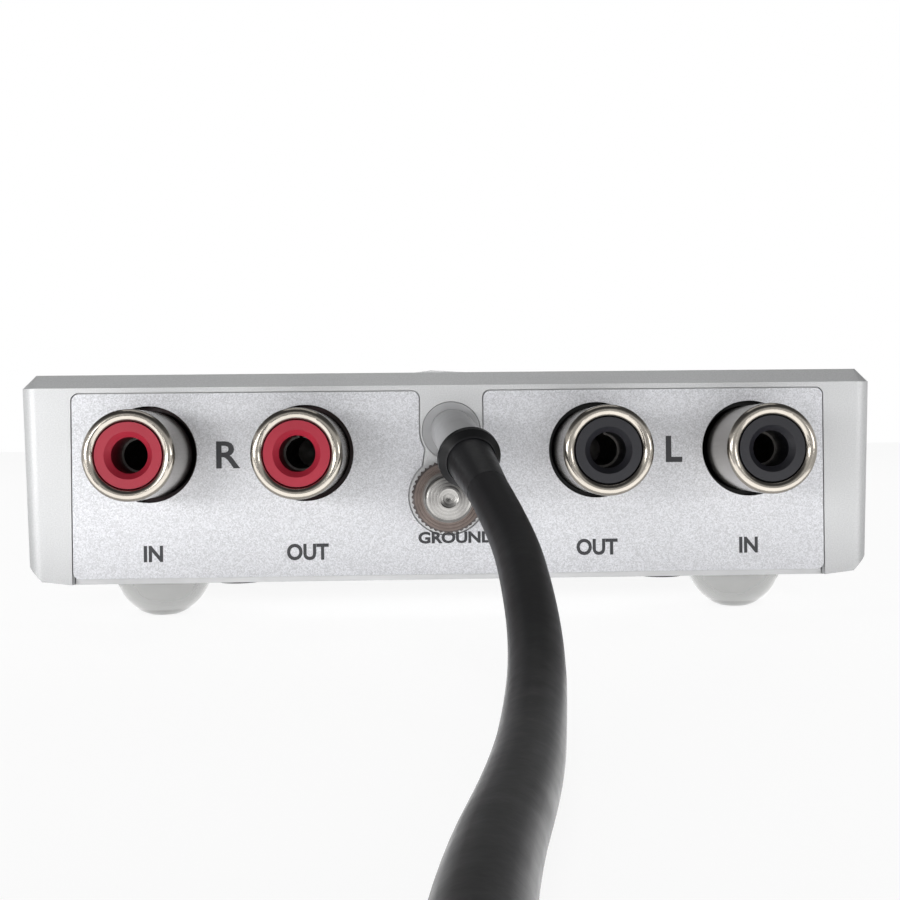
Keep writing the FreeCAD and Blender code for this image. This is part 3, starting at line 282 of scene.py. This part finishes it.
def nickel(name, colour, roughness, turning=(1, 1, 1)):
    """Plated metal with faint turning marks."""
    r = Recipe(name, colour, roughness, metallic=1.0)
    marks = r.noise(2600, 3.0, stretch=turning)
    r.shades(r.noise(300, 3.0), 0.3, 0.7, 0.93, 1.05)
    r.gloss(marks, 0.3, 0.7, roughness * 0.75, roughness * 1.4)
    r.bump(marks, 0.004)
    return r.material


def clear_foot():
    """Clear soft plastic with a little haze."""
    r = Recipe("clear_foot", (0.80, 0.80, 0.785), 0.08)
    r.set("Transmission Weight", 0.7)
    r.set("IOR", 1.42)
    r.set("Coat Weight", 0.8)
    r.set("Coat Roughness", 0.03)
    haze = r.noise(900, 2.0)
    r.gloss(haze, 0.3, 0.7, 0.05, 0.16)
    r.shades(r.noise(400, 2.0), 0.3, 0.7, 0.97, 1.03)
    return r.material


def turned_terminal():
    """Lathe-turned nickel: fine rings on its end, and beyond the end a rim painted darker and
    reddish-brown, a painted shade with a painted reflection of the red jacks.
    """
    r = Recipe("terminal_nickel", (0.21, 0.205, 0.198), 0.27, metallic=1.0)
    end_radius, ring_pitch = 2.3, 0.3
    reach = r.from_axis(GROUND_X, GROUND_Z)
    rings = r.waves(reach, ring_pitch)
    r.shades(r.noise(700, 3.0), 0.3, 0.7, 0.8, 1.12)
    # Painted shade and painted reflection: the rim beyond the turned end is darkened and tinted
    # reddish-brown
    r.darken(reach, end_radius, 0.2, (0.6, 0.5, 0.47))
    r.gloss(rings, 0.0, 1.0, 0.26, 0.4)
    r.bump(rings, 0.003)
    return r.material


def jack_plastic(name, colour):
    """Moulded insulator, with painted shade down its bore and a deeper painted shade where the
    block meets the plate.
    """
    r = Recipe(name, colour, 0.36, specular=0.3)
    grain = r.noise(3000, 3.0)
    r.shades(r.noise(180, 2.0), 0.3, 0.7, 0.92, 1.08)
    face, block = REAR_Y - 8.05, REAR_Y - 4.0
    depth = r.along((0, 1, 0))
    # Painted shade: base colour darkened behind the insulator's face, down the bore
    r.darken(depth, face, 0.25, (0.3, 0.3, 0.32))
    # Painted shade: base colour darkened again where the block meets the plate, behind the
    # barrel
    r.darken(depth, block, 1.0, (0.2, 0.2, 0.22))
    r.gloss(grain, 0.3, 0.7, 0.31, 0.42)
    r.bump(grain, 0.01)
    return r.material


def collar_rubber():
    """Satin boot, with painted shade darkening the ring at its head."""
    r = Recipe("collar_black", (0.018, 0.018, 0.0195), 0.36, specular=0.14)
    grain = r.noise(1800, 4.0)
    r.shades(r.noise(240, 4.0), 0.35, 0.75, 0.85, 1.2)
    end, way = sleeve_end()
    # Painted shade: the ring at the boot's head is darkened
    r.darken(r.along(-way), -end.dot(way) - RING_THICK, 0.15, (0.3, 0.3, 0.3))
    r.gloss(grain, 0.3, 0.7, 0.3, 0.42)
    r.bump(grain, 0.008)
    return r.material


def lead_vinyl(name, colour, roughness):
    """Extruded vinyl: satin, with faint scuffs."""
    r = Recipe(name, colour, roughness, specular=0.1)
    skin = r.noise(2600, 4.0)
    scuffs = r.noise(700, 4.0)
    r.shades(scuffs, 0.35, 0.75, 0.9, 1.15)
    r.gloss(scuffs, 0.3, 0.7, roughness - 0.03, roughness + 0.04)
    r.bump(skin, 0.006)
    return r.material


def circuit_green():
    """Solder mask with copper runs showing through it."""
    r = Recipe("board_green", (0.02, 0.14, 0.05), 0.3)
    runs = r.add("ShaderNodeTexWave")
    runs.inputs["Scale"].default_value = 110
    runs.inputs["Distortion"].default_value = 3.0
    r.join(r.places.outputs["Object"], runs.inputs["Vector"])
    r.blend(runs.outputs["Fac"], 0.45, 0.6, (0.015, 0.11, 0.04), (0.03, 0.2, 0.07))
    r.bump(runs.outputs["Fac"], 0.03)
    return r.material


def make_finishes():
    return {
        "case": silver_case(),
        "plate": silver_plate(),
        # Bottom plate: base colour painted lighter than the rear plate's silver, a painted
        # light for the glow it gets from below
        "floor": plain_plastic("floor_silver_painted_light", (0.74, 0.745, 0.75), 0.45),
        "foot": clear_foot(),
        "screw": plain_plastic("screw_black", (0.02, 0.02, 0.022), 0.55),
        "shell": nickel("jack_nickel", (0.30, 0.277, 0.245), 0.16, turning=(1, 6, 1)),
        "terminal": turned_terminal(),
        # Contact metal: base colour painted near black, a painted shade for the deep, unlit
        # bores; the in-line socket's contacts share it
        "contact": nickel("contact_tin_painted_shade", (0.10, 0.095, 0.09), 0.45),
        "steel": nickel("steel", (0.45, 0.45, 0.46), 0.35),
        "brass": nickel("brass", (0.60, 0.42, 0.16), 0.3),
        "red": jack_plastic("jack_red", (0.27, 0.015, 0.03)),
        "black": jack_plastic("jack_black", (0.012, 0.012, 0.015)),
        "sleeve": plain_plastic("sleeve_grey", (0.37, 0.372, 0.38), 0.36, 1500, 0.004),
        "collar": collar_rubber(),
        "lead": lead_vinyl("lead_black", (0.0125, 0.0123, 0.0135), 0.46),
        "tie": plain_plastic("tie_black", (0.02, 0.02, 0.021), 0.5),
        "board": circuit_green(),
        "can": plain_plastic("can_blue", (0.01, 0.02, 0.07), 0.3),
        "film": plain_plastic("film_yellow", (0.5, 0.32, 0.04), 0.35),
        "resistor": plain_plastic("resistor_tan", (0.42, 0.3, 0.16), 0.4),
        "chip": plain_plastic("chip_black", (0.014, 0.014, 0.014), 0.55),
        "led": plain_plastic("led_clear", (0.72, 0.75, 0.78), 0.15),
        "wire_red": plain_plastic("wire_red", (0.4, 0.02, 0.02), 0.45),
        "wire_black": plain_plastic("wire_black", (0.02, 0.02, 0.02), 0.45),
        "wire_green": plain_plastic("wire_green", (0.02, 0.22, 0.05), 0.45),
        "ink": plain_plastic("lettering_ink", (0.02, 0.02, 0.024), 0.55, 4000, 0.004),
    }


NODE_FINISHES = (
    ("case_shell", "case"),
    ("rear_plate", "plate"),
    ("bottom_plate", "floor"),
    ("foot_", "foot"),
    ("bottom_screws", "screw"),
    ("pcb_screws", "steel"),
    ("jack_right_in_body", "red"),
    ("jack_right_out_body", "red"),
    ("jack_left_in_body", "black"),
    ("jack_left_out_body", "black"),
    ("jack_right_in_shell", "shell"),
    ("jack_right_out_shell", "shell"),
    ("jack_left_in_shell", "shell"),
    ("jack_left_out_shell", "shell"),
    ("jack_", "contact"),
    ("ground_thumbscrew", "terminal"),
    ("ground_washer", "terminal"),
    ("ground_nut", "terminal"),
    ("ground_wire", "wire_green"),
    ("ground_", "brass"),
    ("supply_wire_plus", "wire_red"),
    ("supply_wire_minus", "wire_black"),
    ("lead_sleeve", "sleeve"),
    ("lead_collar", "collar"),
    ("lead_inner", "lead"),
    ("lead_grip", "tie"),
    ("lead_tie", "tie"),
    ("power_lead", "lead"),
    ("lead_", "lead"),
    ("socket_housing", "collar"),
    ("socket_", "contact"),
    ("electrolytic", "can"),
    ("film_capacitor", "film"),
    ("resistor", "resistor"),
    ("opamp_chip", "chip"),
    ("voltage_regulator", "chip"),
    ("pcb", "board"),
    ("power_led", "led"),
    ("led_leg", "steel"),
)


def dress_nodes(finishes):
    """Gives every node of the frame its finish."""
    for name, obj in nodes.items():
        finish = next(key for start, key in NODE_FINISHES if name.startswith(start))
        obj.data.materials.clear()
        obj.data.materials.append(finishes[finish])


# The lead


def coil_points():
    """Sixteen points a turn: in on the lower layer, up a layer, and out again."""
    centre = Vector((COIL_ENTRY.x - COIL_OUTER, COIL_ENTRY.y, 0))
    per_turn = 16
    grow = 1 / math.cos(math.pi / per_turn)
    shrink = COIL_PITCH / math.tau
    rise = COIL_HIGH - COIL_LOW
    points = []
    for step in range(1, 2 * COIL_TURNS * per_turn + per_turn // 2):
        angle = step * math.tau / per_turn
        past = angle - COIL_TURNS * math.tau
        if past <= 0:
            radius, z = COIL_OUTER - shrink * angle, COIL_LOW
        elif past < math.pi:
            radius = COIL_INNER - shrink * math.sin(past) * math.pi / 2
            z = COIL_LOW + rise * (1 - math.cos(past)) / 2
        else:
            radius, z = COIL_INNER + shrink * (past - math.pi), COIL_HIGH
        radius *= grow
        points.append(centre + Vector((radius * math.cos(angle), -radius * math.sin(angle), z)))
    return points


def lead_line(finishes):
    """The whole free lead, from its boot to the in-line socket, on one smooth spline."""
    end, way = sleeve_end()
    boot_end = end + way * (RING_THICK + BOOT_LENGTH)
    leave = Vector((COIL_ENTRY.x - 2 * COIL_OUTER, COIL_ENTRY.y, COIL_HIGH))
    back = Vector((0, LEAD_DIA, 0))
    # From the boot down to the floor, along it to the coil, round the coil, and to the socket
    route = [
        boot_end,
        boot_end + way * 8.0,
        Vector((4.6, -84.0, 6.4)),
        Vector((4.4, -93.5, 3.4)),
        Vector((3.3, -104.0, LEAD_ON_FLOOR)),
        Vector((1.8, -117.0, LEAD_ON_FLOOR)),
        Vector((-0.7, -131.0, LEAD_ON_FLOOR)),
        Vector((-1.9, -146.0, LEAD_ON_FLOOR)),
        COIL_ENTRY + back + Vector((0, 14.0, 0)),
        COIL_ENTRY + back,
        COIL_ENTRY,
        *coil_points(),
        leave,
        leave + back,
        leave + back + Vector((0, 8.0, 0)),
        Vector((leave.x, leave.y + LEAD_DIA + 16.0, SOCKET_Z)),
        Vector((leave.x, leave.y + LEAD_DIA + 24.0, SOCKET_Z)),
    ]
    curve = bpy.data.curves.new("supply_lead", "CURVE")
    curve.dimensions = "3D"
    spline = curve.splines.new("NURBS")
    spline.points.add(len(route) - 1)
    for point, place in zip(spline.points, route):
        point.co = (*(place * MM), 1.0)
    spline.order_u = 3
    spline.use_endpoint_u = True
    spline.resolution_u = 6
    curve.bevel_depth = LEAD_DIA / 2 * MM
    curve.bevel_resolution = 7
    curve.use_fill_caps = True
    curve.materials.append(finishes["lead"])
    lead = link("supply_lead", curve)
    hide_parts("power_lead", "lead_coil", "lead_tail")
    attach(lead, BODY)


# Lettering on the rear plate

INK_PROUD = 0.008

# Text, place, height of its capitals, width against the font's own, and weight
LABELS = (
    ("R", -21.4, JACK_Z - 0.1, 2.6, 1.1, 0.016),
    ("L", 21.6, JACK_Z, 2.55, 1.0, 0.03),
    ("IN", -28.6, JACK_Z - 9.5, 1.56, 0.93, 0.034),
    ("OUT", -13.9, JACK_Z - 9.5, 1.6, 0.9, 0.034),
    ("OUT", 14.0, JACK_Z - 9.4, 1.6, 0.9, 0.034),
    ("IN", 28.8, JACK_Z - 9.4, 1.56, 0.93, 0.034),
    ("GROUND", 0.36, JACK_Z - 8.3, 1.14, 1.14, 0.04),
)


def letters(text, x, z, cap, stretch, weight):
    """Bold printed letters, cap millimetres tall, centred on x and z."""
    curve = bpy.data.curves.new("letters", "FONT")
    curve.body = text
    curve.size = 1.0
    curve.offset = weight
    curve.extrude = 0.004
    curve.resolution_u = 4
    holder = link("letters", curve)
    bpy.context.view_layer.update()
    evaluated = holder.evaluated_get(bpy.context.evaluated_depsgraph_get())
    mesh = bpy.data.meshes.new_from_object(evaluated)
    bpy.data.objects.remove(holder)
    xs = [v.co.x for v in mesh.vertices]
    ys = [v.co.y for v in mesh.vertices]
    grow = cap / (max(ys) - min(ys)) * MM
    middle = Vector(((max(xs) + min(xs)) / 2, (max(ys) + min(ys)) / 2, 0))
    stand = Matrix(((1, 0, 0), (0, 0, -1), (0, 1, 0))).to_4x4()
    place = Matrix.Translation(metres(x, REAR_Y - INK_PROUD, z))
    size = Matrix.Diagonal((grow * stretch, grow, grow, 1))
    mesh.transform(place @ stand @ size @ Matrix.Translation(-middle))
    return mesh


def plate_lettering(finishes):
    whole = bmesh.new()
    for label in LABELS:
        whole.from_mesh(letters(*label))
    mesh = bpy.data.meshes.new("plate_lettering")
    whole.to_mesh(mesh)
    whole.free()
    mesh.materials.append(finishes["ink"])
    piece = link("plate_lettering", mesh)
    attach(piece, BODY)


# Stage


def white_when_seen(tree, lit, strength=1.0, share=1.0, mask=None):
    """Mixes white into a shader that the camera, a reflection or clear plastic sees.

    The mask, where there is one, takes the place of the share.
    """
    path = tree.nodes.new("ShaderNodeLightPath")
    seen = path.outputs["Is Camera Ray"]
    for kind in ("Is Transmission Ray", "Is Glossy Ray"):
        either = tree.nodes.new("ShaderNodeMath")
        either.operation = "MAXIMUM"
        tree.links.new(seen, either.inputs[0])
        tree.links.new(path.outputs[kind], either.inputs[1])
        seen = either.outputs[0]
    amount = tree.nodes.new("ShaderNodeMath")
    amount.operation = "MULTIPLY"
    amount.inputs[1].default_value = share
    tree.links.new(seen, amount.inputs[0])
    if mask:
        tree.links.new(mask, amount.inputs[1])
    white = tree.nodes.new("ShaderNodeEmission")
    white.inputs["Color"].default_value = (1, 1, 1, 1)
    white.inputs["Strength"].default_value = strength
    mix = tree.nodes.new("ShaderNodeMixShader")
    tree.links.new(amount.outputs[0], mix.inputs["Fac"])
    tree.links.new(lit, mix.inputs[1])
    tree.links.new(white.outputs["Emission"], mix.inputs[2])
    return mix.outputs["Shader"]


def stage_floor():
    mesh = bpy.data.meshes.new("floor")
    far = 6.0
    corners = [(-far, -far, 0), (far, -far, 0), (far, far, 0), (-far, far, 0)]
    mesh.from_pydata(corners, [], [(0, 1, 2, 3)])
    floor = link("floor", mesh)
    material = bpy.data.materials.new("floor_white")
    material.use_nodes = True
    tree = material.node_tree
    shader = tree.nodes["Principled BSDF"]
    shader.inputs["Base Color"].default_value = (0.86, 0.86, 0.86, 1)
    shader.inputs["Roughness"].default_value = 0.6
    mixed = white_when_seen(tree, shader.outputs["BSDF"], strength=1.13, share=0.8)
    tree.links.new(mixed, tree.nodes["Material Output"].inputs["Surface"])
    mesh.materials.append(material)


def world_light():
    world = bpy.data.worlds.new("world")
    bpy.context.scene.world = world
    world.use_nodes = True
    tree = world.node_tree
    ambient = tree.nodes["Background"]
    ambient.inputs["Strength"].default_value = 1.0
    ways = tree.nodes.new("ShaderNodeTexCoord")
    split = tree.nodes.new("ShaderNodeSeparateXYZ")
    tree.links.new(ways.outputs["Generated"], split.inputs["Vector"])
    fade = tree.nodes.new("ShaderNodeValToRGB")
    fade.color_ramp.elements[0].position = 0.0
    fade.color_ramp.elements[0].color = (0.52, 0.52, 0.52, 1)
    fade.color_ramp.elements[1].position = 0.75
    fade.color_ramp.elements[1].color = (0.10, 0.10, 0.10, 1)
    tree.links.new(split.outputs["Z"], fade.inputs["Fac"])
    tree.links.new(fade.outputs["Color"], ambient.inputs["Color"])
    low = tree.nodes.new("ShaderNodeMapRange")
    low.inputs["From Min"].default_value = 0.36
    low.inputs["From Max"].default_value = 0.46
    low.inputs["To Min"].default_value = 1.0
    low.inputs["To Max"].default_value = 0.0
    tree.links.new(split.outputs["Z"], low.inputs["Value"])
    seen = white_when_seen(tree, ambient.outputs["Background"], mask=low.outputs["Result"])
    tree.links.new(seen, tree.nodes["World Output"].inputs["Surface"])


def soft_lamp(name, place, aim, width, height, power):
    data = bpy.data.lights.new(name, "AREA")
    data.shape = "RECTANGLE"
    data.size = width
    data.size_y = height
    data.energy = power
    lamp = link(name, data)
    lamp.location = place
    lamp.rotation_euler = (Vector(aim) - Vector(place)).to_track_quat("-Z", "Y").to_euler()
    return lamp


def light_stage():
    world_light()
    soft_lamp("low_left", (-0.30, -0.42, 0.05), (0, -0.05, 0.014), 0.30, 0.08, 0.8)
    soft_lamp("low_right", (0.34, -0.40, 0.05), (0, -0.05, 0.014), 0.2, 0.08, 0.3)
    soft_lamp("overhead", (0.0, 0.15, 0.8), (0, 0, 0), 0.6, 0.6, 1.0)
    for name, x, y, width, height, power in (
        ("table_glow", -0.045, -0.102, 0.22, 0.08, 0.12),
        ("under_glow", 0.0, -0.038, 0.078, 0.018, 0.0016),
    ):
        glow = soft_lamp(name, (x, y, 0.0006), (x, y, 1.0), width, height, power)
        glow.visible_camera = False
    bpy.context.scene.view_settings.view_transform = "Standard"


photo_camera()
finishes = make_finishes()
dress_nodes(finishes)
lead_line(finishes)
plate_lettering(finishes)
stage_floor()
light_stage()
